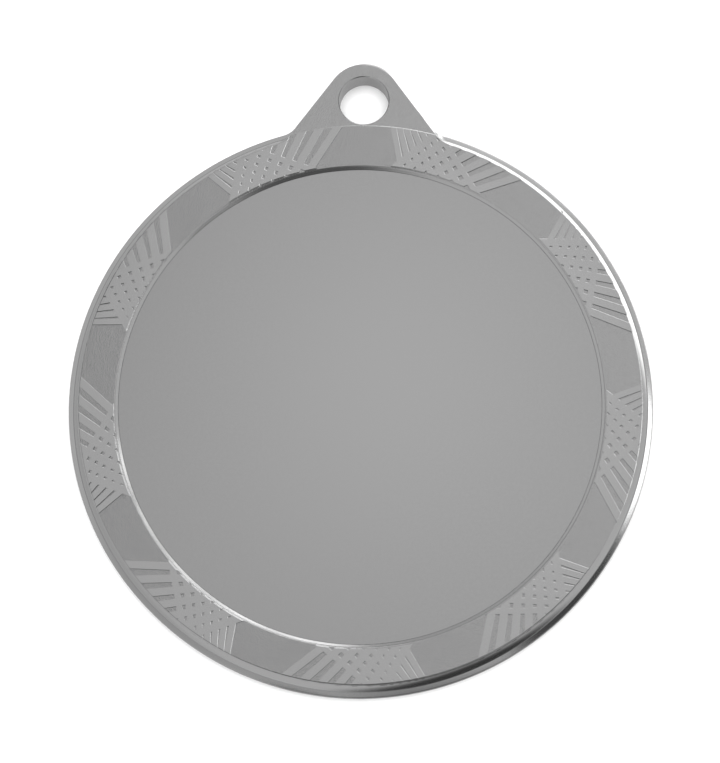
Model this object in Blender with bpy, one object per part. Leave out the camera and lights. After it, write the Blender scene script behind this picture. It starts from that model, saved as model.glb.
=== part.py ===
"""A round award medal, lying on its back.

A die-cast disc carries a hanging tab with a ribbon hole, a flat band with a rounded shoulder and a
thin flange round its foot.  A round pocket in its front takes a thin satin centre disc, which is
stuck down on an adhesive pad.

Frame: metres, +Z up and out of the medal's front, +Y from the disc's centre towards the hanging
tab, and the origin at the disc's centre on the flat back.
"""

import math

import bmesh
import bpy
from mathutils import Vector

MM = 0.001

# Driving dimensions
DISC_RADIUS = 30.0 * MM  # widest, at the flange
BAND_HEIGHT = 3.0 * MM  # back to the flat band
FLANGE_WIDTH = 0.55 * MM  # how far the flange stands out past the foot of the shoulder
FLANGE_HEIGHT = 1.6 * MM
FLANGE_ROUNDING = 0.25 * MM
BACK_ROUNDING = 0.5 * MM
SHOULDER_DRAFT = 0.35 * MM  # how far the shoulder leans in between the flange and the band
SHOULDER_ROUNDING = 0.3 * MM

HOLE_RADIUS = 2.6 * MM
HOLE_CENTRE_Y = 32.2 * MM
HOLE_EDGE_BREAK = 0.12 * MM
TAB_ARC_CENTRE_Y = 32.7 * MM
TAB_ARC_RADIUS = 4.0 * MM  # the tab's round top, at the flange
TAB_FLANK_ANGLE = math.radians(36.4)  # between a flank and the medal's long axis
TAB_FILLET_RADIUS = 2.2 * MM  # where a flank runs into the disc
TAB_SIDE_SHARE = 0.42  # the tab's side leans in by this much of what the disc's side does

RECESS_MOUTH_RADIUS = 25.12 * MM
RECESS_BEVEL = 0.35 * MM  # depth of the bevel, and so of the centre disc's face below the band
RECESS_FLOOR_RADIUS = 24.75 * MM
FIT_GAP = 0.3 * MM  # clear space kept between neighbouring pieces

CENTRE_DISC_THICKNESS = 0.5 * MM
CENTRE_DISC_EDGE_BREAK = 0.05 * MM
PAD_THICKNESS = 0.2 * MM
PAD_MARGIN = 1.0 * MM  # how far the pad stops short of the centre disc's edge

# How finely curves are cut
DISC_STEPS = 132
TAB_STEPS = 20
FILLET_STEPS = 8
ROUNDING_STEPS = 4
HOLE_STEPS = 48

# Heights that follow from the driving dimensions
CENTRE_DISC_TOP = BAND_HEIGHT - RECESS_BEVEL
CENTRE_DISC_BOTTOM = CENTRE_DISC_TOP - CENTRE_DISC_THICKNESS
PAD_TOP = CENTRE_DISC_BOTTOM - FIT_GAP
PAD_BOTTOM = PAD_TOP - PAD_THICKNESS
POCKET_FLOOR = PAD_BOTTOM - FIT_GAP


def clear_scene():
    """Remove every object that the file opened with."""
    for obj in list(bpy.data.objects):
        bpy.data.objects.remove(obj, do_unlink=True)


def make_material(name, colour, roughness, metallic):
    """A Principled material of one colour."""
    material = bpy.data.materials.new(name)
    material.use_nodes = True
    shader = material.node_tree.nodes["Principled BSDF"]
    shader.inputs["Base Color"].default_value = (*colour, 1.0)
    shader.inputs["Roughness"].default_value = roughness
    shader.inputs["Metallic"].default_value = metallic
    return material


def arc(centre, radius, start, end, steps):
    """Points along an arc, from angle start to angle end, both included."""
    angles = [start + (end - start) * i / steps for i in range(steps + 1)]
    return [Vector((centre.x + radius * math.cos(a), centre.y + radius * math.sin(a))) for a in angles]


def medal_outline(inset):
    """The medal's outline, moved in by inset, as points running anticlockwise.

    It is the disc's circle, a concave fillet, a straight flank and the tab's round top, and the same
    again on the left.  The tab moves in by less than the disc does.  Every outline has as many points
    as any other, so two of them can be bridged.
    """
    disc_radius = DISC_RADIUS - inset
    tab_radius = TAB_ARC_RADIUS - inset * TAB_SIDE_SHARE
    fillet_radius = TAB_FILLET_RADIUS + inset
    tab_centre = Vector((0.0, TAB_ARC_CENTRE_Y))
    flank_normal = Vector((math.cos(TAB_FLANK_ANGLE), math.sin(TAB_FLANK_ANGLE)))
    flank_down = Vector((math.sin(TAB_FLANK_ANGLE), -math.cos(TAB_FLANK_ANGLE)))

    # The fillet's centre is one fillet radius away from both the flank and the disc's circle.
    beside_tab = tab_centre + flank_normal * (tab_radius + fillet_radius)
    half = beside_tab.dot(flank_down)
    reach = disc_radius + fillet_radius
    along = -half - math.sqrt(half * half - beside_tab.length_squared + reach * reach)
    fillet_centre = beside_tab + flank_down * along
    meets_disc = math.atan2(fillet_centre.y, fillet_centre.x)

    disc = arc(Vector((0.0, 0.0)), disc_radius, math.pi - meets_disc, 2 * math.pi + meets_disc, DISC_STEPS)
    right_fillet = arc(
        fillet_centre, fillet_radius, meets_disc + math.pi, math.pi + TAB_FLANK_ANGLE, FILLET_STEPS
    )
    tab = arc(tab_centre, tab_radius, TAB_FLANK_ANGLE, math.pi - TAB_FLANK_ANGLE, TAB_STEPS)
    left_fillet = [Vector((-p.x, p.y)) for p in reversed(right_fillet)]
    return disc + right_fillet[1:] + tab + left_fillet[:-1]


def quarter_round(inset, height, radius, rising_in):
    """(inset, height) points of a quarter circle that starts upright or ends upright.

    With rising_in it starts upright at (inset, height) and turns in to lie flat; without it, it
    starts flat and turns up to end upright at (inset, height).
    """
    points = []
    for i in range(ROUNDING_STEPS + 1):
        turn = 0.5 * math.pi * i / ROUNDING_STEPS
        if rising_in:
            points.append((inset + radius * (1 - math.cos(turn)), height + radius * math.sin(turn)))
        else:
            points.append((inset + radius * (1 - math.sin(turn)), height - radius * math.cos(turn)))
    return points


def body_section():
    """(inset, height) pairs up the medal's side, from the back to the band."""
    shoulder_top = BAND_HEIGHT - SHOULDER_ROUNDING
    section = quarter_round(0.0, BACK_ROUNDING, BACK_ROUNDING, rising_in=False)
    section += quarter_round(0.0, FLANGE_HEIGHT - FLANGE_ROUNDING, FLANGE_ROUNDING, rising_in=True)
    section.append((FLANGE_WIDTH, FLANGE_HEIGHT))
    section += quarter_round(FLANGE_WIDTH + SHOULDER_DRAFT, shoulder_top, SHOULDER_ROUNDING, rising_in=True)
    return section


def layered_mesh(name, layers):
    """A closed mesh through outlines of equal length, given bottom first as (points, height)."""
    bm = bmesh.new()
    rings = [[bm.verts.new((p.x, p.y, height)) for p in points] for points, height in layers]
    count = len(rings[0])
    for low, high in zip(rings, rings[1:]):
        for i in range(count):
            j = (i + 1) % count
            bm.faces.new((low[i], low[j], high[j], high[i]))
    bm.faces.new(reversed(rings[0]))
    bm.faces.new(rings[-1])
    mesh = bpy.data.meshes.new(name)
    bm.to_mesh(mesh)
    bm.free()
    return mesh


def turned_mesh(name, centre, profile, steps):
    """A closed solid turned about an upright axis, from (radius, height) pairs bottom first."""
    layers = [(arc(centre, radius, 0.0, 2 * math.pi, steps)[:-1], height) for radius, height in profile]
    return layered_mesh(name, layers)


def add_object(name, mesh, material):
    """Put a mesh in the scene as one shaded piece."""
    mesh.materials.append(material)
    mesh.shade_smooth()
    mesh.set_sharp_from_angle(angle=math.radians(30))
    obj = bpy.data.objects.new(name, mesh)
    bpy.context.scene.collection.objects.link(obj)
    return obj


def add_cut(target, name, mesh):
    """Cut a mesh's shape out of a piece, and keep the cutter as a wire guide."""
    cutter = bpy.data.objects.new(name, mesh)
    bpy.context.scene.collection.objects.link(cutter)
    cutter.hide_render = True
    cutter.display_type = "WIRE"
    cut = target.modifiers.new(name, "BOOLEAN")
    cut.operation = "DIFFERENCE"
    cut.solver = "EXACT"
    cut.object = cutter


def make_cast_body(material):
    """The casting: disc, flange, shoulder, band and hanging tab in one, with its pocket and hole."""
    layers = [(medal_outline(inset), height) for inset, height in body_section()]
    body = add_object("cast_body", layered_mesh("cast_body", layers), material)
    add_cut(body, "pocket_cutter", pocket_mesh())
    add_cut(body, "ribbon_hole_cutter", ribbon_hole_mesh())


def pocket_mesh():
    """The round pocket: upright up to the centre disc's face, then a bevel out to the band."""
    slope = (RECESS_MOUTH_RADIUS - RECESS_FLOOR_RADIUS) / RECESS_BEVEL
    above = 1.0 * MM
    profile = [
        (RECESS_FLOOR_RADIUS, POCKET_FLOOR),
        (RECESS_FLOOR_RADIUS, CENTRE_DISC_TOP),
        (RECESS_MOUTH_RADIUS + slope * above, BAND_HEIGHT + above),
    ]
    return turned_mesh("pocket_cutter", Vector((0.0, 0.0)), profile, DISC_STEPS)


def ribbon_hole_mesh():
    """The hole through the tab, with its edges broken at the front and the back."""
    above = 1.0 * MM
    wide = HOLE_RADIUS + HOLE_EDGE_BREAK + above
    profile = [
        (wide, -above),
        (HOLE_RADIUS, HOLE_EDGE_BREAK),
        (HOLE_RADIUS, BAND_HEIGHT - HOLE_EDGE_BREAK),
        (wide, BAND_HEIGHT + above),
    ]
    return turned_mesh("ribbon_hole_cutter", Vector((0.0, HOLE_CENTRE_Y)), profile, HOLE_STEPS)


def make_centre_disc(material):
    """The thin satin disc that fills the pocket's floor."""
    radius = RECESS_FLOOR_RADIUS - FIT_GAP
    edge = CENTRE_DISC_EDGE_BREAK
    profile = [
        (radius - edge, CENTRE_DISC_BOTTOM),
        (radius, CENTRE_DISC_BOTTOM + edge),
        (radius, CENTRE_DISC_TOP - edge),
        (radius - edge, CENTRE_DISC_TOP),
    ]
    mesh = turned_mesh("centre_disc", Vector((0.0, 0.0)), profile, DISC_STEPS)
    add_object("centre_disc", mesh, material)


def make_adhesive_pad(material):
    """The round of double-sided film that holds the centre disc down."""
    radius = RECESS_FLOOR_RADIUS - FIT_GAP - PAD_MARGIN
    profile = [(radius, PAD_BOTTOM), (radius, PAD_TOP)]
    mesh = turned_mesh("adhesive_pad", Vector((0.0, 0.0)), profile, DISC_STEPS)
    add_object("adhesive_pad", mesh, material)


def main():
    clear_scene()
    make_cast_body(make_material("cast_silver", (0.55, 0.55, 0.55), 0.3, 1.0))
    make_centre_disc(make_material("satin_silver", (0.5, 0.5, 0.5), 0.4, 1.0))
    make_adhesive_pad(make_material("adhesive_film", (0.72, 0.7, 0.64), 0.6, 0.0))


if __name__ == "__main__":
    main()
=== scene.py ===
"""A round cast award medal, finished for pictures.

The frame gives the medal's box: the disc's radius, its thickness and how far the hanging tab reaches.
This script makes the casting again with its raised ribs, edge line and rounded shoulder, seats the
satin centre disc in it, and lights it on a pale floor. All lengths in the file are in metres, and all
heights are measured from the medal's flat back.
"""

import math

import bmesh
import bpy
from mathutils import Matrix, Vector


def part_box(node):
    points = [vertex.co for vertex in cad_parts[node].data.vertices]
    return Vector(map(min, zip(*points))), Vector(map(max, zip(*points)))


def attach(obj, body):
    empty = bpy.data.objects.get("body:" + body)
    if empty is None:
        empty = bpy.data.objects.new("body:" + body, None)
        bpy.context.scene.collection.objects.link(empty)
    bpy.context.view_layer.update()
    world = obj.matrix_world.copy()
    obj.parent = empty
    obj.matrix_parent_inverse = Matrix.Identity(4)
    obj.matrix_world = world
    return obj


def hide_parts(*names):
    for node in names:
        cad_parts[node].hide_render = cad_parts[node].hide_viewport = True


bl_info = {
    "name": "Cast Award Medal",
    "version": (1, 0, 0),
    "blender": (4, 5, 0),
    "location": "View3D > Sidebar > Medal",
    "description": "Makes a ribbed cast medal, its satin centre disc and a small studio",
    "category": "Add Mesh",
}

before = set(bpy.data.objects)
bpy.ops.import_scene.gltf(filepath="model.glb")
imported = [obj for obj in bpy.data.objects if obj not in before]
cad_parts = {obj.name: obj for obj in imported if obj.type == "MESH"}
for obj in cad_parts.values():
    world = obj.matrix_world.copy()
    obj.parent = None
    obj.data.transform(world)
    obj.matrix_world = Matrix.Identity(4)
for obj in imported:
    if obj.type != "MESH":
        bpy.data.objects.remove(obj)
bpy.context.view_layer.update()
CASTING_LOW, CASTING_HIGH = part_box("cast_body")
DISC_LOW, DISC_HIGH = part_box("centre_disc")

MM = 0.001

# Sizes taken from the frame
DISC_RADIUS = CASTING_HIGH.x
BAND_HEIGHT = CASTING_HIGH.z
TAB_TOP_Y = CASTING_HIGH.y
CENTRE_FACE_HEIGHT = DISC_HIGH.z
CENTRE_DISC_BOTTOM = DISC_LOW.z

# The tab, seen from the front
HOLE_CENTRE_Y = 32.22 * MM
HOLE_RADIUS = 2.6 * MM
HOLE_EDGE_BREAK = 0.08 * MM
TAB_FOOT_RADIUS = 3.98 * MM
TAB_FACE_RADIUS = 3.87 * MM
TAB_LEAN = 0.75 * MM  # how much lower the round top's centre lies at the face than at the foot
TAB_FLANK_ANGLE = math.radians(36.4)
FILLET_RADIUS = 2.2 * MM
TAB_STEP_RADIUS = 29.45 * MM  # the fine edge that crosses the tab
TAB_STEP_WIDTH = 0.1 * MM
TAB_STEP_DEPTH = 0.06 * MM

# The ribs
RIB_SUNK = 0.1 * MM  # how far a rib reaches into the band

# The shoulder's upper edge: a round that starts at the slope's own steepness and ends flat
EDGE_INSET = 1.28 * MM  # where the band begins
EDGE_SHARE = 0.72  # how far the tab's side has leant in where the round starts
EDGE_STEEPNESS = math.radians(52)
EDGE_RADIUS = 0.18 * MM
EDGE_STEPS = 5

# The recess
RECESS_MOUTH_RADIUS = 25.12 * MM
RECESS_WALL_RADIUS = 24.75 * MM
POCKET_FLOOR_HEIGHT = 1.35 * MM
DISC_FIT_GAP = 0.015 * MM
DISC_EDGE_BREAK = 0.02 * MM

# How finely round things are cut
DISC_STEPS = 420
TAB_STEPS = 48
FILLET_STEPS = 14
HOLE_STEPS = 96
SHARP_ANGLE = math.radians(28)
CUTTER_MARGIN = 1.0 * MM  # how far a cutter reaches past the surface it cuts

# The camera and its lens
CAMERA_DISTANCE = 248.7 * MM
CAMERA_TILT = math.radians(11.386)
CAMERA_AZIMUTH = math.radians(-80.14)
CAMERA_ROLL = math.radians(0.87)
LENS_MM = 113.6
SENSOR_MM = 36.0
FRAMING_SHIFT = (-0.0002, 0.0343)
NEAREST_SEEN = 0.01
FARTHEST_SEEN = 20.0

# The floor
FLOOR_HALF_WIDTH = 3.0
FLOOR_GAP = 0.02 * MM

# The studio: the surround's brightness, what the camera sees behind the floor, and the fill lamp
SURROUND_LIGHT = 0.6
BACKDROP_LIGHT = 1.1
FILL_ENERGY = 3.4
FILL_SPREAD = math.radians(60)

# Round soft-edged patches of the surround: azimuth and elevation of the centre, then the half angles
# where the edge starts and ends, all in degrees, and the brightness. Later ones lie over earlier ones.
STUDIO_PATCHES = (
    (180, -53, 30, 50, 0.48),  # low on the left
    (0, -90, 14, 24, 0.3),  # straight down, seen in the hole's wall
    (215, 55, 15, 36, 0.42),  # high on the left
    (-90, 65, 14, 27, 0.06),  # over the camera's side
    (140, 55, 10, 20, 0.03),  # high behind on the left
    (-66, -36, 14, 30, 0.05),  # low in front on the right
    (-77, 17, 10, 30, 0.11),  # in front
    (254, 29, 5, 10, 0.12),  # a small dark card in front on the left
    (-43, 28, 6, 12, 0.1),  # in front on the right
    (-32, 40, 11, 18, 0.07),  # high in front on the right
    (3, 34, 8, 14, 2.4),  # high on the right
    (68, -8, 5, 32, 1.0),  # level with the medal, behind on the right
    (54, -36, 18, 32, 2.2),  # low behind on the right
    (28, 13, 4, 8, 2.0),  # a row of low lamps behind on the right
    (42, 12, 4, 8, 2.0),
    (56, 10, 4, 8, 2.2),
    (70, 7, 4, 9, 2.2),
    (84, 6, 4, 10, 2.2),
    (95, 78, 0.5, 4.5, 1.05),  # the glow in the centre disc
)


# ---------------------------------------------------------------- node helpers


class Value:
    """A number's socket in a node tree; arithmetic on it adds Math nodes."""

    def __init__(self, tree, socket):
        self.tree = tree
        self.socket = socket

    def math(self, operation, *others):
        """The result of one Math node whose first value is this one."""
        return add_node(self.tree, "ShaderNodeMath", {"operation": operation}, [self, *others])

    def __add__(self, other):
        return self.math("ADD", other)

    __radd__ = __add__

    def __sub__(self, other):
        return self.math("SUBTRACT", other)

    def __rsub__(self, other):
        return self.math("MULTIPLY", -1.0) + other

    def __mul__(self, other):
        return self.math("MULTIPLY", other)

    __rmul__ = __mul__

    def step(self, low, high):
        """A smooth change from 0 to 1 as this value goes from low to high."""
        settings = {"interpolation_type": "SMOOTHSTEP"}
        return add_node(self.tree, "ShaderNodeMapRange", settings, [self, low, high])


def add_node(tree, kind, settings, inputs, output=0):
    """Add a node: its settings first, then its sockets, by place or by name. Returns one output."""
    node = tree.nodes.new(kind)
    for name, setting in settings.items():
        setattr(node, name, setting)
    pairs = inputs.items() if isinstance(inputs, dict) else enumerate(inputs)
    for key, given in pairs:
        if isinstance(given, Value):
            tree.links.new(given.socket, node.inputs[key])
        else:
            node.inputs[key].default_value = given
    return Value(tree, node.outputs[output])


def new_material(name):
    """A material whose nodes are cleared but for an output; returns it, its tree and its output."""
    material = bpy.data.materials.new(name)
    material.use_nodes = True
    tree = material.node_tree
    tree.nodes.clear()
    return material, tree, tree.nodes.new("ShaderNodeOutputMaterial")


def noise(tree, position, size, detail=2.0, roughness=0.5):
    """Noise with features of a given size in metres, from 0 to 1."""
    inputs = {"Vector": position, "Scale": 1.0 / size, "Detail": detail, "Roughness": roughness}
    return add_node(tree, "ShaderNodeTexNoise", {}, inputs, "Fac")


def grey_mix(tree, factor, dark, light):
    """A colour between two greys."""
    inputs = {0: factor, 6: (dark, dark, dark, 1.0), 7: (light, light, light, 1.0)}
    return add_node(tree, "ShaderNodeMix", {"data_type": "RGBA"}, inputs, 2)


def relief(tree, height, depth):
    """A surface direction that follows a height from 0 to about 1, over a depth in metres."""
    return add_node(tree, "ShaderNodeBump", {}, {"Strength": 1.0, "Distance": depth, "Height": height})


def metal(tree, shade, roughness, bump):
    """A metal surface."""
    inputs = {"Base Color": shade, "Metallic": 1.0, "Roughness": roughness, "Normal": bump}
    return add_node(tree, "ShaderNodeBsdfPrincipled", {}, inputs)


# ---------------------------------------------------------------- materials


def cast_silver(finish):
    """Silver-plated casting: a fine pitted grain in the low ground, and smooth rib tops and edges."""
    material, tree, output = new_material("cast_silver")
    position = add_node(tree, "ShaderNodeTexCoord", {}, [], "Object")
    height = add_node(tree, "ShaderNodeSeparateXYZ", {}, [position], "Z")

    level_within = 0.02 * MM  # the band's own unevenness
    rib_side_ends = 0.06 * MM  # above the band
    shoulder_begins = 0.12 * MM  # under the band
    over_band = height.step(BAND_HEIGHT + level_within, BAND_HEIGHT + rib_side_ends)
    under_band = height.step(BAND_HEIGHT - level_within, BAND_HEIGHT - shoulder_begins)
    ground = 1.0 - over_band.math("MAXIMUM", under_band)

    pit_size = finish.grain_size * 0.6
    wave_size = finish.grain_size * 40.0
    pit_share = 0.6
    wave_share = 1.5
    smooth_share = 0.15  # how much of the grain is left where the casting is smooth
    grain = noise(tree, position, finish.grain_size, 3.0, 0.65)
    pits = noise(tree, position, pit_size, 1.0)
    waves = noise(tree, position, wave_size, 1.0)
    grained = (grain + pits * pit_share) * (ground * (1.0 - smooth_share) + smooth_share)
    bump = relief(tree, grained + waves * wave_share, finish.grain_depth)

    pitted_grey = finish.cast_grey * 0.98
    pitted_roughness = 0.06  # added where the casting is grained
    shade = grey_mix(tree, grain.step(0.35, 0.65) * ground, finish.cast_grey, pitted_grey)
    roughness = ground * pitted_roughness + finish.cast_roughness
    shader = metal(tree, shade, roughness, bump)
    tree.links.new(shader.socket, output.inputs["Surface"])
    return material


def satin_silver(finish):
    """The centre disc's smooth satin face, faintly speckled."""
    material, tree, output = new_material("satin_silver")
    position = add_node(tree, "ShaderNodeTexCoord", {}, [], "Object")
    wave_size = finish.speckle_size * 60.0
    speckle_grey = finish.satin_grey * 1.03
    speckle_roughness = 0.04  # added on the speckle
    speckle = noise(tree, position, finish.speckle_size, 2.0, 0.6)
    waves = noise(tree, position, wave_size, 1.0)
    bump = relief(tree, speckle + waves, finish.speckle_depth)
    shade = grey_mix(tree, speckle.step(0.35, 0.7), finish.satin_grey, speckle_grey)
    shader = metal(tree, shade, speckle * speckle_roughness + finish.satin_roughness, bump)
    tree.links.new(shader.socket, output.inputs["Surface"])
    return material


def adhesive_film(finish):
    """Matt, slightly cloudy double-sided film."""
    material, tree, output = new_material("adhesive_film")
    position = add_node(tree, "ShaderNodeTexCoord", {}, [], "Object")
    cloud_size = 1.5 * MM
    cloud_grey = finish.film_grey * 1.1
    cloud = noise(tree, position, cloud_size)
    shade = grey_mix(tree, cloud, finish.film_grey, cloud_grey)
    inputs = {"Base Color": shade, "Roughness": cloud * 0.1 + 0.5}
    shader = add_node(tree, "ShaderNodeBsdfPrincipled", {}, inputs)
    tree.links.new(shader.socket, output.inputs["Surface"])
    return material


def pale_floor(finish):
    """Plain white paper."""
    material, tree, output = new_material("pale_floor")
    position = add_node(tree, "ShaderNodeTexCoord", {}, [], "Object")
    fibre_size = 2.0 * MM
    fibre_grey = finish.floor_grey * 1.01
    fibre = noise(tree, position, fibre_size)
    shade = grey_mix(tree, fibre, finish.floor_grey, fibre_grey)
    inputs = {"Base Color": shade, "Roughness": 0.9, "Specular IOR Level": 0.0}
    shader = add_node(tree, "ShaderNodeBsdfPrincipled", {}, inputs)
    tree.links.new(shader.socket, output.inputs["Surface"])
    return material


# ---------------------------------------------------------------- outlines and meshes


def arc(centre, radius, start, end, steps):
    """Points along an arc, from angle start to angle end, both included."""
    angles = [start + (end - start) * i / steps for i in range(steps + 1)]
    return [Vector((centre.x + radius * math.cos(a), centre.y + radius * math.sin(a))) for a in angles]


def medal_outline(disc_inset, tab_share):
    """The medal's outline, anticlockwise: disc, fillet, flank, round top, flank and fillet.

    disc_inset moves the disc's circle in.  tab_share goes from 0 at the tab's foot to 1 at its face.
    """
    disc_radius = DISC_RADIUS - disc_inset
    tab_radius = TAB_FOOT_RADIUS + (TAB_FACE_RADIUS - TAB_FOOT_RADIUS) * tab_share
    tab_centre = Vector((0.0, TAB_TOP_Y - TAB_FOOT_RADIUS - TAB_LEAN * tab_share))
    fillet_radius = FILLET_RADIUS + disc_inset
    flank_normal = Vector((math.cos(TAB_FLANK_ANGLE), math.sin(TAB_FLANK_ANGLE)))
    flank_down = Vector((math.sin(TAB_FLANK_ANGLE), -math.cos(TAB_FLANK_ANGLE)))

    # The fillet's centre is one fillet radius away from both the flank and the disc's circle.
    beside_tab = tab_centre + flank_normal * (tab_radius + fillet_radius)
    half = beside_tab.dot(flank_down)
    reach = disc_radius + fillet_radius
    along = -half - math.sqrt(half * half - beside_tab.length_squared + reach * reach)
    fillet_centre = beside_tab + flank_down * along
    meets_disc = math.atan2(fillet_centre.y, fillet_centre.x)

    disc = arc(Vector((0.0, 0.0)), disc_radius, math.pi - meets_disc, 2 * math.pi + meets_disc, DISC_STEPS)
    right_fillet = arc(
        fillet_centre, fillet_radius, meets_disc + math.pi, math.pi + TAB_FLANK_ANGLE, FILLET_STEPS
    )
    tab = arc(tab_centre, tab_radius, TAB_FLANK_ANGLE, math.pi - TAB_FLANK_ANGLE, TAB_STEPS)
    left_fillet = [Vector((-p.x, p.y)) for p in reversed(right_fillet)]
    return disc + right_fillet[1:] + tab + left_fillet[:-1]


def foot_section():
    """(disc inset, tab share, height) rows from the back, round the foot and over the flange."""
    return [
        (0.45 * MM, 0.36, 0.0),
        (0.25 * MM, 0.20, 0.05 * MM),
        (0.11 * MM, 0.09, 0.17 * MM),
        (0.03 * MM, 0.02, 0.36 * MM),
        (0.0, 0.0, 0.6 * MM),
        (0.0, 0.0, 1.5 * MM),
        (0.02 * MM, 0.02, 1.59 * MM),
        (0.09 * MM, 0.1, 1.65 * MM),
        (0.51 * MM, 0.42, 1.86 * MM),
        (0.78 * MM, 0.58, 2.45 * MM),
    ]


def shoulder_section(top):
    """Rows that round the shoulder's edge over on to a flat top, and the tab's on to its own face."""
    rows = []
    for i in range(EDGE_STEPS + 1):
        steepness = EDGE_STEEPNESS * (1 - i / EDGE_STEPS)
        share = EDGE_SHARE + (1.0 - EDGE_SHARE) * i / EDGE_STEPS
        inset = EDGE_INSET - EDGE_RADIUS * math.sin(steepness)
        rows.append((inset, share, top - EDGE_RADIUS * (1 - math.cos(steepness))))
    return rows


def body_layers():
    """The casting's outlines and heights, from the back to the band."""
    rows = foot_section() + shoulder_section(BAND_HEIGHT)
    return [(medal_outline(inset, share), height) for inset, share, height in rows]


def envelope_layers(rib_height):
    """The space that the ribs may fill: the casting's own outlines, carried up to the ribs' tops."""
    rows = foot_section() + shoulder_section(BAND_HEIGHT + rib_height)
    return [(medal_outline(inset, share), height) for inset, share, height in rows]


def mesh_from(bm, name):
    """A mesh from bm, with its faces turned outwards."""
    bmesh.ops.recalc_face_normals(bm, faces=bm.faces)
    mesh = bpy.data.meshes.new(name)
    bm.to_mesh(mesh)
    bm.free()
    return mesh


def layered_mesh(name, layers, closed_ring=False):
    """A closed mesh through outlines of equal length; a closed ring joins the last to the first."""
    bm = bmesh.new()
    rings = [[bm.verts.new((p.x, p.y, height)) for p in points] for points, height in layers]
    pairs = list(zip(rings, rings[1:]))
    if closed_ring:
        pairs.append((rings[-1], rings[0]))
    else:
        bm.faces.new(reversed(rings[0]))
        bm.faces.new(rings[-1])
    count = len(rings[0])
    for low, high in pairs:
        for i in range(count):
            j = (i + 1) % count
            bm.faces.new((low[i], low[j], high[j], high[i]))
    return mesh_from(bm, name)


def turned_mesh(name, centre, profile, steps, closed_ring=False):
    """A solid turned about an upright axis from (radius, height) pairs, or a ring from a closed loop."""
    layers = [(arc(centre, radius, 0.0, 2 * math.pi, steps)[:-1], height) for radius, height in profile]
    return layered_mesh(name, layers, closed_ring)


def add_object(name, mesh):
    """Put a mesh in the scene."""
    obj = bpy.data.objects.new(name, mesh)
    bpy.context.scene.collection.objects.link(obj)
    return obj


def add_boolean(obj, other, operation, self_crossing=False):
    """Join, cut or trim obj with another object."""
    boolean = obj.modifiers.new(operation.lower(), "BOOLEAN")
    boolean.operation = operation
    boolean.solver = "EXACT"
    boolean.use_self = self_crossing
    boolean.object = other


def settled(obj, name):
    """A plain mesh of obj as its modifiers leave it."""
    graph = bpy.context.evaluated_depsgraph_get()
    mesh = bpy.data.meshes.new_from_object(obj.evaluated_get(graph), depsgraph=graph)
    mesh.name = name
    return mesh


def remove_objects(objects):
    """Take helpers out of the file."""
    for obj in objects:
        bpy.data.objects.remove(obj, do_unlink=True)


def soft_shaded(mesh):
    """The mesh with smooth shading that breaks at real edges and leaves wide faces flat.

    The shading is worked out in millimetres, because the modifier passes over very small faces.
    """
    mesh.shade_smooth()
    mesh.set_sharp_from_angle(angle=SHARP_ANGLE)
    mesh.transform(Matrix.Scale(1 / MM, 4))
    carrier = add_object("shading", mesh)
    weighted = carrier.modifiers.new("flats", "WEIGHTED_NORMAL")
    weighted.mode = "FACE_AREA"
    weighted.keep_sharp = True
    shaded = settled(carrier, mesh.name)
    remove_objects([carrier])
    shaded.transform(Matrix.Scale(MM, 4))
    return shaded


# ---------------------------------------------------------------- ribs


RIB_INPUTS = (
    ("Rib Count", "NodeSocketInt"),
    ("Cluster Count", "NodeSocketInt"),
    ("First Cluster", "NodeSocketFloat"),
    ("Apex X", "NodeSocketFloat"),
    ("Apex Y", "NodeSocketFloat"),
    ("First Direction", "NodeSocketFloat"),
    ("Direction Step", "NodeSocketFloat"),
    ("Start", "NodeSocketFloat"),
    ("End", "NodeSocketFloat"),
    ("Top Width", "NodeSocketFloat"),
    ("Base Width", "NodeSocketFloat"),
    ("Thickness", "NodeSocketFloat"),
    ("Middle Height", "NodeSocketFloat"),
    ("Edge Rounding", "NodeSocketFloat"),
    ("Material", "NodeSocketMaterial"),
)


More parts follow.
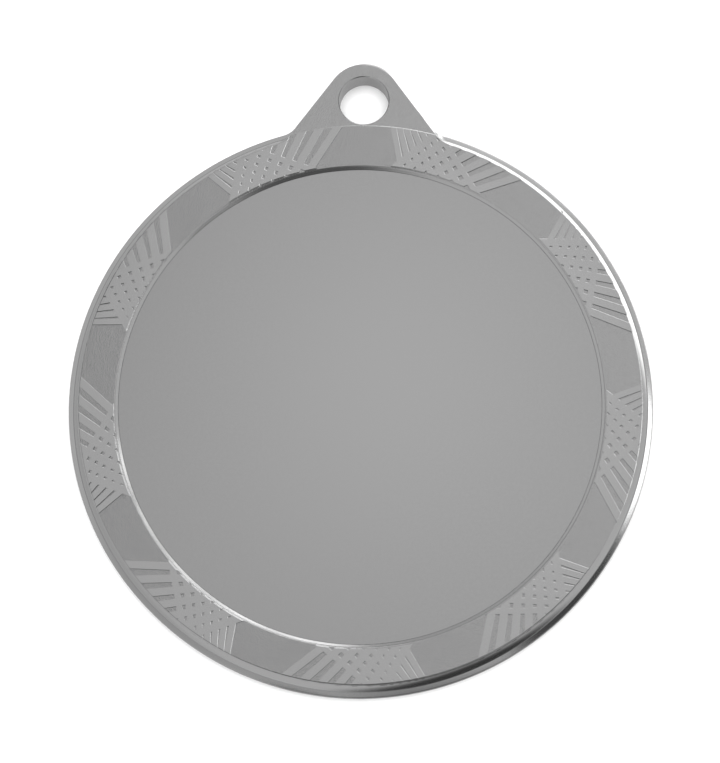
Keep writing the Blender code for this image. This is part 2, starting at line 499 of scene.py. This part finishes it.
def rib_tree():
    """Nodes that sweep one rib, fan it out from an apex, and repeat the fan round the medal."""
    tree = bpy.data.node_groups.new("Fan Ribs", "GeometryNodeTree")
    for name, kind in RIB_INPUTS:
        tree.interface.new_socket(name, in_out="INPUT", socket_type=kind)
    tree.interface.new_socket("Geometry", in_out="OUTPUT", socket_type="NodeSocketGeometry")
    entry = tree.nodes.new("NodeGroupInput")
    given = {name: Value(tree, entry.outputs[name]) for name, _ in RIB_INPUTS}

    def vector(x, y, z):
        return add_node(tree, "ShaderNodeCombineXYZ", {}, [x, y, z])

    section = add_node(
        tree,
        "GeometryNodeCurvePrimitiveQuadrilateral",
        {"mode": "TRAPEZOID"},
        {
            "Height": given["Thickness"],
            "Bottom Width": given["Base Width"],
            "Top Width": given["Top Width"],
            "Offset": 0.0,
        },
    )
    rounded = add_node(
        tree,
        "GeometryNodeFilletCurve",
        {"mode": "POLY"},
        {"Curve": section, "Radius": given["Edge Rounding"], "Count": 2},
    )
    line = add_node(
        tree,
        "GeometryNodeCurvePrimitiveLine",
        {},
        {
            "Start": vector(given["Start"], 0.0, given["Middle Height"]),
            "End": vector(given["End"], 0.0, given["Middle Height"]),
        },
    )
    rib = add_node(
        tree,
        "GeometryNodeCurveToMesh",
        {},
        {"Curve": line, "Profile Curve": rounded, "Fill Caps": True},
    )
    index = add_node(tree, "GeometryNodeInputIndex", {}, [])
    fan_points = add_node(
        tree,
        "GeometryNodePoints",
        {},
        {"Count": given["Rib Count"], "Position": vector(given["Apex X"], given["Apex Y"], 0.0)},
    )
    turn = given["First Direction"] + given["Direction Step"] * index
    fan = add_node(
        tree,
        "GeometryNodeInstanceOnPoints",
        {},
        {"Points": fan_points, "Instance": rib, "Rotation": vector(0.0, 0.0, turn)},
    )
    cluster_points = add_node(tree, "GeometryNodePoints", {}, {"Count": given["Cluster Count"]})
    share = index.math("DIVIDE", given["Cluster Count"])
    cluster_turn = given["First Cluster"] + share * (2 * math.pi)
    clusters = add_node(
        tree,
        "GeometryNodeInstanceOnPoints",
        {},
        {"Points": cluster_points, "Instance": fan, "Rotation": vector(0.0, 0.0, cluster_turn)},
    )
    realized = add_node(tree, "GeometryNodeRealizeInstances", {}, {"Geometry": clusters})
    finished = add_node(
        tree,
        "GeometryNodeSetMaterial",
        {},
        {"Geometry": realized, "Material": given["Material"]},
    )
    leave = tree.nodes.new("NodeGroupOutput")
    tree.links.new(finished.socket, leave.inputs["Geometry"])
    return tree


def fan_object(name, tree, values):
    """An object that holds every rib of one fan, in all the clusters."""
    obj = add_object(name, bpy.data.meshes.new(name))
    ribs = obj.modifiers.new("Fan Ribs", "NODES")
    ribs.node_group = tree
    sockets = {item.name: item.identifier for item in tree.interface.items_tree if item.in_out == "INPUT"}
    for key, value in values.items():
        ribs[sockets[key]] = value
    return obj


def rib_values(sizes, fan, material):
    """What a fan's node inputs are set to."""
    thickness = sizes.rib_height + RIB_SUNK
    flare = 2 * (fan.base_half_width - fan.top_half_width) * thickness / sizes.rib_height
    return {
        "Rib Count": sizes.ribs_per_fan,
        "Cluster Count": sizes.cluster_count,
        "First Cluster": sizes.first_cluster,
        "Apex X": fan.apex[0],
        "Apex Y": fan.apex[1],
        "First Direction": fan.first_direction,
        "Direction Step": fan.direction_step,
        "Start": fan.reach[0],
        "End": fan.reach[1],
        "Top Width": 2 * fan.top_half_width,
        "Base Width": 2 * fan.top_half_width + flare,
        "Thickness": thickness,
        "Middle Height": BAND_HEIGHT + sizes.rib_height - thickness / 2,
        "Edge Rounding": sizes.rib_rounding,
        "Material": material,
    }


def joined_mesh(name, meshes):
    """Several meshes as one."""
    bm = bmesh.new()
    for mesh in meshes:
        bm.from_mesh(mesh)
    joined = bpy.data.meshes.new(name)
    bm.to_mesh(joined)
    bm.free()
    return joined


# ---------------------------------------------------------------- properties


def length_property(name, description, default):
    """A length in metres."""
    return bpy.props.FloatProperty(
        name=name, description=description, default=default, unit="LENGTH", subtype="DISTANCE", precision=6
    )


def angle_property(name, description, degrees):
    """An angle, given here in degrees."""
    return bpy.props.FloatProperty(
        name=name, description=description, default=math.radians(degrees), unit="ROTATION", subtype="ANGLE"
    )


def share_property(name, description, default):
    """A number from 0 to 1."""
    return bpy.props.FloatProperty(
        name=name, description=description, default=default, min=0.0, max=1.0, subtype="FACTOR"
    )


def pair_property(name, description, default):
    """Two lengths in metres."""
    return bpy.props.FloatVectorProperty(
        name=name, description=description, default=default, size=2, unit="LENGTH", subtype="XYZ"
    )


def count_property(name, description, default):
    """A whole number, at least 1."""
    return bpy.props.IntProperty(name=name, description=description, default=default, min=1)


class MedalWideFan(bpy.types.PropertyGroup):
    """Ribs that spread outwards. The apex is in the cluster's frame: outwards, then anticlockwise."""

    apex: pair_property("Apex", "Where the fan's lines meet", (13.04 * MM, 11.88 * MM))
    reach: pair_property("Reach", "Where a rib starts and ends, from the apex", (12.6 * MM, 25.6 * MM))
    first_direction: angle_property("First direction", "The first rib's direction", -29.54)
    direction_step: angle_property("Direction step", "The turn from one rib to the next", -3.669)
    top_half_width: length_property("Top half width", "Half the width of a rib's top", 0.17 * MM)
    base_half_width: length_property("Base half width", "Half the width of a rib at the band", 0.33 * MM)


class MedalNarrowFan(bpy.types.PropertyGroup):
    """Ribs that close in outwards. The apex is in the cluster's frame: outwards, then anticlockwise."""

    apex: pair_property("Apex", "Where the fan's lines meet", (37.58 * MM, 12.45 * MM))
    reach: pair_property("Reach", "Where a rib starts and ends, from the apex", (9.6 * MM, 20.8 * MM))
    first_direction: angle_property("First direction", "The first rib's direction", 180.0 + 30.86)
    direction_step: angle_property("Direction step", "The turn from one rib to the next", 3.433)
    top_half_width: length_property("Top half width", "Half the width of a rib's top", 0.1 * MM)
    base_half_width: length_property("Base half width", "Half the width of a rib at the band", 0.25 * MM)


class MedalSizes(bpy.types.PropertyGroup):
    """Sizes of the raised ribs."""

    wide_fan: bpy.props.PointerProperty(
        type=MedalWideFan, name="Wide fan", description="Ribs that spread outwards"
    )
    narrow_fan: bpy.props.PointerProperty(
        type=MedalNarrowFan, name="Narrow fan", description="Ribs that cross the wide fan's"
    )
    rib_height: length_property("Rib height", "How far a rib stands above the band", 0.12 * MM)
    rib_rounding: length_property("Rib rounding", "Radius along a rib's top edges", 0.03 * MM)
    ribs_per_fan: count_property("Ribs", "Ribs in each fan", 7)
    cluster_count: count_property("Clusters", "Clusters round the band", 9)
    first_cluster: angle_property("First cluster", "Where the first cluster stands", 30.0)


class MedalFinish(bpy.types.PropertyGroup):
    """Greys, roughness and grain of the surfaces."""

    cast_grey: share_property("Casting", "Reflectance of the casting", 0.6)
    cast_roughness: share_property("Casting roughness", "Roughness of its smooth parts", 0.16)
    grain_size: length_property("Grain size", "Size of the band's grain", 0.15 * MM)
    grain_depth: length_property("Grain depth", "Depth of the band's grain", 0.02 * MM)
    satin_grey: share_property("Centre disc", "Reflectance of the centre disc", 0.547)
    satin_roughness: share_property("Centre disc roughness", "Roughness of the centre disc", 0.2)
    speckle_size: length_property("Speckle size", "Size of the centre disc's speckle", 0.3 * MM)
    speckle_depth: length_property("Speckle depth", "Depth of the centre disc's speckle", 0.001 * MM)
    film_grey: share_property("Adhesive film", "Reflectance of the film", 0.7)
    floor_grey: share_property("Floor", "Reflectance of the floor", 0.93)


# ---------------------------------------------------------------- operators


class MEDAL_OT_casting(bpy.types.Operator):
    """Make the casting: disc, flange, shoulder, band, tab, hole and raised ribs in one"""

    bl_idname = "medal.casting"
    bl_label = "Casting"

    def execute(self, context):
        sizes = context.scene.medal_sizes
        material = cast_silver(context.scene.medal_finish)
        ribs = self.make_ribs(sizes, material)
        blank = add_object("casting_blank", layered_mesh("casting_blank", body_layers()))
        cutters = [self.recess_cutter(), self.hole_cutter(), self.step_cutter()]
        add_boolean(blank, ribs, "UNION")
        for cutter in cutters:
            add_boolean(blank, cutter, "DIFFERENCE")
        mesh = settled(blank, "cast_medal")
        self.confirm_whole(mesh)
        mesh.materials.clear()
        mesh.materials.append(material)
        casting = add_object("cast_medal", soft_shaded(mesh))
        remove_objects([blank, ribs, *cutters])
        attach(casting, "root")
        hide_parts("cast_body")
        return {"FINISHED"}

    def confirm_whole(self, mesh):
        """Stop if joining the ribs lost the casting under them."""
        lowest = min((vertex.co.z for vertex in mesh.vertices), default=BAND_HEIGHT)
        if lowest > CASTING_LOW.z + RIB_SUNK:
            raise RuntimeError("Joining the ribs to the casting lost the casting.")

    def make_ribs(self, sizes, material):
        """Both fans in every cluster, trimmed to the casting's outline."""
        tree = rib_tree()
        wide = fan_object("wide_ribs", tree, rib_values(sizes, sizes.wide_fan, material))
        narrow = fan_object("narrow_ribs", tree, rib_values(sizes, sizes.narrow_fan, material))
        bars = joined_mesh("ribs", [settled(wide, "wide_ribs"), settled(narrow, "narrow_ribs")])
        rough = add_object("rough_ribs", bars)
        envelope = add_object("envelope", layered_mesh("envelope", envelope_layers(sizes.rib_height)))
        add_boolean(rough, envelope, "INTERSECT", self_crossing=True)
        ribs = add_object("ribs", settled(rough, "ribs"))
        remove_objects([wide, narrow, rough, envelope])
        return ribs

    def recess_cutter(self):
        """The recess: an upright wall up to the centre disc's face, then a bevel out to the band."""
        slope = (RECESS_MOUTH_RADIUS - RECESS_WALL_RADIUS) / (BAND_HEIGHT - CENTRE_FACE_HEIGHT)
        profile = [
            (RECESS_WALL_RADIUS, POCKET_FLOOR_HEIGHT),
            (RECESS_WALL_RADIUS, CENTRE_FACE_HEIGHT),
            (RECESS_MOUTH_RADIUS + slope * CUTTER_MARGIN, BAND_HEIGHT + CUTTER_MARGIN),
        ]
        mesh = turned_mesh("recess_cutter", Vector((0.0, 0.0)), profile, DISC_STEPS)
        return add_object("recess_cutter", mesh)

    def hole_cutter(self):
        """The ribbon hole, with its edges broken."""
        tab_height = BAND_HEIGHT - TAB_STEP_DEPTH
        wide = HOLE_RADIUS + HOLE_EDGE_BREAK + CUTTER_MARGIN
        profile = [
            (wide, -CUTTER_MARGIN),
            (HOLE_RADIUS, HOLE_EDGE_BREAK),
            (HOLE_RADIUS, tab_height - HOLE_EDGE_BREAK),
            (wide, tab_height + CUTTER_MARGIN),
        ]
        mesh = turned_mesh("hole_cutter", Vector((0.0, HOLE_CENTRE_Y)), profile, HOLE_STEPS)
        return add_object("hole_cutter", mesh)

    def step_cutter(self):
        """A ring that lowers the tab's face a little outside the edge line."""
        tab_height = BAND_HEIGHT - TAB_STEP_DEPTH
        beyond = 5.0 * MM
        outer = TAB_TOP_Y + beyond
        foot = TAB_STEP_RADIUS + TAB_STEP_WIDTH / 2
        edge = TAB_STEP_RADIUS - TAB_STEP_WIDTH / 2
        profile = [
            (foot, tab_height),
            (outer, tab_height),
            (outer, tab_height + CUTTER_MARGIN),
            (edge - TAB_STEP_WIDTH * 1.5, tab_height + CUTTER_MARGIN),
            (edge, BAND_HEIGHT),
        ]
        mesh = turned_mesh("step_cutter", Vector((0.0, 0.0)), profile, DISC_STEPS, closed_ring=True)
        return add_object("step_cutter", mesh)


class MEDAL_OT_centre_disc(bpy.types.Operator):
    """Make the satin disc that lies in the recess"""

    bl_idname = "medal.centre_disc"
    bl_label = "Centre disc"

    def execute(self, context):
        radius = RECESS_WALL_RADIUS - DISC_FIT_GAP
        edge = DISC_EDGE_BREAK
        profile = [
            (radius - edge, CENTRE_DISC_BOTTOM),
            (radius, CENTRE_DISC_BOTTOM + edge),
            (radius, CENTRE_FACE_HEIGHT - edge),
            (radius - edge, CENTRE_FACE_HEIGHT),
        ]
        mesh = turned_mesh("satin_disc", Vector((0.0, 0.0)), profile, DISC_STEPS)
        mesh.materials.append(satin_silver(context.scene.medal_finish))
        disc = add_object("satin_disc", soft_shaded(mesh))
        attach(disc, "root")
        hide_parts("centre_disc")
        return {"FINISHED"}


class MEDAL_OT_adhesive_pad(bpy.types.Operator):
    """Give the hidden adhesive pad its film"""

    bl_idname = "medal.adhesive_pad"
    bl_label = "Adhesive pad"

    def execute(self, context):
        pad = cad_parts["adhesive_pad"]
        pad.data.materials.clear()
        pad.data.materials.append(adhesive_film(context.scene.medal_finish))
        return {"FINISHED"}


class MEDAL_OT_stage(bpy.types.Operator):
    """Set the pale floor, the soft light and the camera"""

    bl_idname = "medal.stage"
    bl_label = "Stage"

    def execute(self, context):
        self.add_floor(context)
        self.add_fill_light()
        context.scene.world = self.studio_world()
        context.scene.view_settings.view_transform = "Standard"
        context.scene.camera = self.add_camera()
        return {"FINISHED"}

    def add_floor(self, context):
        """A wide sheet just under the medal's back. It doesn't show in the metal."""
        half = FLOOR_HALF_WIDTH
        corners = ((-half, -half), (half, -half), (half, half), (-half, half))
        bm = bmesh.new()
        bm.faces.new([bm.verts.new((x, y, CASTING_LOW.z - FLOOR_GAP)) for x, y in corners])
        mesh = mesh_from(bm, "floor")
        mesh.materials.append(pale_floor(context.scene.medal_finish))
        floor = add_object("floor", mesh)
        floor.visible_glossy = False

    def add_fill_light(self):
        """A broad lamp that whitens the floor and leaves no glint on the metal."""
        lamp = bpy.data.lights.new("fill", "SUN")
        lamp.energy = FILL_ENERGY
        lamp.angle = FILL_SPREAD
        fill = add_object("fill", lamp)
        fill.visible_glossy = False

    def studio_world(self):
        """Soft boxes and dark cards round the medal, as patches of a plain grey surround."""
        world = bpy.data.worlds.new("studio")
        world.use_nodes = True
        tree = world.node_tree
        tree.nodes.clear()
        direction = add_node(tree, "ShaderNodeTexCoord", {}, [], "Generated")
        light = SURROUND_LIGHT
        for azimuth, elevation, inner, outer, level in STUDIO_PATCHES:
            mask = self.patch_mask(tree, direction, self.towards(azimuth, elevation), inner, outer)
            light = light * (1.0 - mask) + mask * level
        seen = add_node(tree, "ShaderNodeLightPath", {}, [], "Is Camera Ray")
        strength = light * (1.0 - seen) + seen * BACKDROP_LIGHT
        white = (1.0, 1.0, 1.0, 1.0)
        shader = add_node(tree, "ShaderNodeBackground", {}, {"Color": white, "Strength": strength})
        output = tree.nodes.new("ShaderNodeOutputWorld")
        tree.links.new(shader.socket, output.inputs["Surface"])
        return world

    def towards(self, azimuth, elevation):
        """The unit vector of a direction given in degrees."""
        turn = math.radians(azimuth)
        rise = math.radians(elevation)
        level = math.cos(rise)
        return Vector((level * math.cos(turn), level * math.sin(turn), math.sin(rise)))

    def patch_mask(self, tree, direction, towards, inner, outer):
        """1 within the inner half angle of a direction, and 0 past the outer one."""
        closeness = add_node(
            tree, "ShaderNodeVectorMath", {"operation": "DOT_PRODUCT"}, [direction, towards], "Value"
        )
        return closeness.step(math.cos(math.radians(outer)), math.cos(math.radians(inner)))

    def add_camera(self):
        """A long lens that looks down on the face, a little from the side away from the tab."""
        lens = bpy.data.cameras.new("camera")
        lens.lens = LENS_MM
        lens.sensor_width = SENSOR_MM
        lens.shift_x, lens.shift_y = FRAMING_SHIFT
        lens.clip_start = NEAREST_SEEN
        lens.clip_end = FARTHEST_SEEN
        camera = add_object("camera", lens)
        level = math.sin(CAMERA_TILT)
        back = Vector(
            (level * math.cos(CAMERA_AZIMUTH), level * math.sin(CAMERA_AZIMUTH), math.cos(CAMERA_TILT))
        )
        right = Vector((0.0, 1.0, 0.0)).cross(back).normalized()
        turned = Matrix.Rotation(CAMERA_ROLL, 3, back) @ right
        rotation = Matrix((turned, back.cross(turned), back)).transposed()
        camera.matrix_world = Matrix.Translation(back * CAMERA_DISTANCE) @ rotation.to_4x4()
        return camera


# ---------------------------------------------------------------- panel and registration


class MEDAL_PT_panel(bpy.types.Panel):
    """Lists what the medal is made with"""

    bl_idname = "MEDAL_PT_panel"
    bl_label = "Cast Award Medal"
    bl_space_type = "VIEW_3D"
    bl_region_type = "UI"
    bl_category = "Medal"

    def draw(self, context):
        layout = self.layout
        sizes = context.scene.medal_sizes
        hidden = ("rna_type", "name", "wide_fan", "narrow_fan")
        for group in (sizes, sizes.wide_fan, sizes.narrow_fan, context.scene.medal_finish):
            column = layout.column(align=True)
            for name in group.bl_rna.properties.keys():
                if name not in hidden:
                    column.prop(group, name)
        for operator in OPERATORS:
            layout.operator(operator.bl_idname)


OPERATORS = (MEDAL_OT_stage, MEDAL_OT_casting, MEDAL_OT_centre_disc, MEDAL_OT_adhesive_pad)
CLASSES = (MedalWideFan, MedalNarrowFan, MedalSizes, MedalFinish, *OPERATORS, MEDAL_PT_panel)


def register():
    """Add the classes and the medal's settings."""
    for cls in CLASSES:
        bpy.utils.register_class(cls)
    bpy.types.Scene.medal_sizes = bpy.props.PointerProperty(type=MedalSizes)
    bpy.types.Scene.medal_finish = bpy.props.PointerProperty(type=MedalFinish)


def unregister():
    """Take them out again."""
    del bpy.types.Scene.medal_finish
    del bpy.types.Scene.medal_sizes
    for cls in reversed(CLASSES):
        bpy.utils.unregister_class(cls)


def main():
    """Make the whole scene."""
    register()
    bpy.ops.medal.stage()
    bpy.ops.medal.casting()
    bpy.ops.medal.centre_disc()
    bpy.ops.medal.adhesive_pad()


if __name__ == "__main__":
    main()
